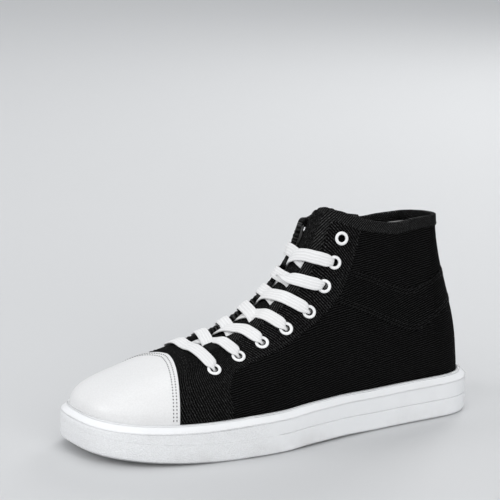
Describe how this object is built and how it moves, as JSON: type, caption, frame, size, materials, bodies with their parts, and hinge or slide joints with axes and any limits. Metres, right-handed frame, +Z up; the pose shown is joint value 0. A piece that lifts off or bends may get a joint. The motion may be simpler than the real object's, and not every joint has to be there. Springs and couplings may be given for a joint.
{
  "type": "high top sneaker",
  "caption": "Left high top sneaker with a hollow canvas upper, leather toe cap, lace-up front and rubber cup sole.",
  "frame": {"origin": "middle of the bounding box, on the ground plane under the sole", "axes": "+Z up, the toe points to -Y, the outer (lateral) side of the left foot is +X"},
  "size_m": [0.1078, 0.298, 0.1505],
  "materials": {
    "rubber": "matte white moulded rubber",
    "canvas": "black twill canvas",
    "toe_leather": "smooth white leather",
    "lining": "off-white cloth",
    "eyelet": "white enamel",
    "lace": "white flat woven lace"
  },
  "bodies": {
    "root": {"sole": "rubber", "upper": "canvas", "toe_cap": "toe_leather", "insole": "lining", "tongue": "canvas", "eyelet_outer_1": "eyelet", "eyelet_outer_2": "eyelet", "eyelet_outer_3": "eyelet", "eyelet_outer_4": "eyelet", "eyelet_outer_5": "eyelet", "eyelet_outer_6": "eyelet", "eyelet_outer_7": "eyelet", "eyelet_outer_8": "eyelet", "eyelet_inner_1": "eyelet", "eyelet_inner_2": "eyelet", "eyelet_inner_3": "eyelet", "eyelet_inner_4": "eyelet", "eyelet_inner_5": "eyelet", "eyelet_inner_6": "eyelet", "eyelet_inner_7": "eyelet", "eyelet_inner_8": "eyelet", "vent_eyelet_1": "eyelet", "vent_eyelet_2": "eyelet", "lace_bar": "lace", "lace_cross_1": "lace", "lace_cross_2": "lace", "lace_cross_3": "lace", "lace_cross_4": "lace", "lace_cross_5": "lace", "lace_cross_6": "lace"}
  },
  "joints": []
}
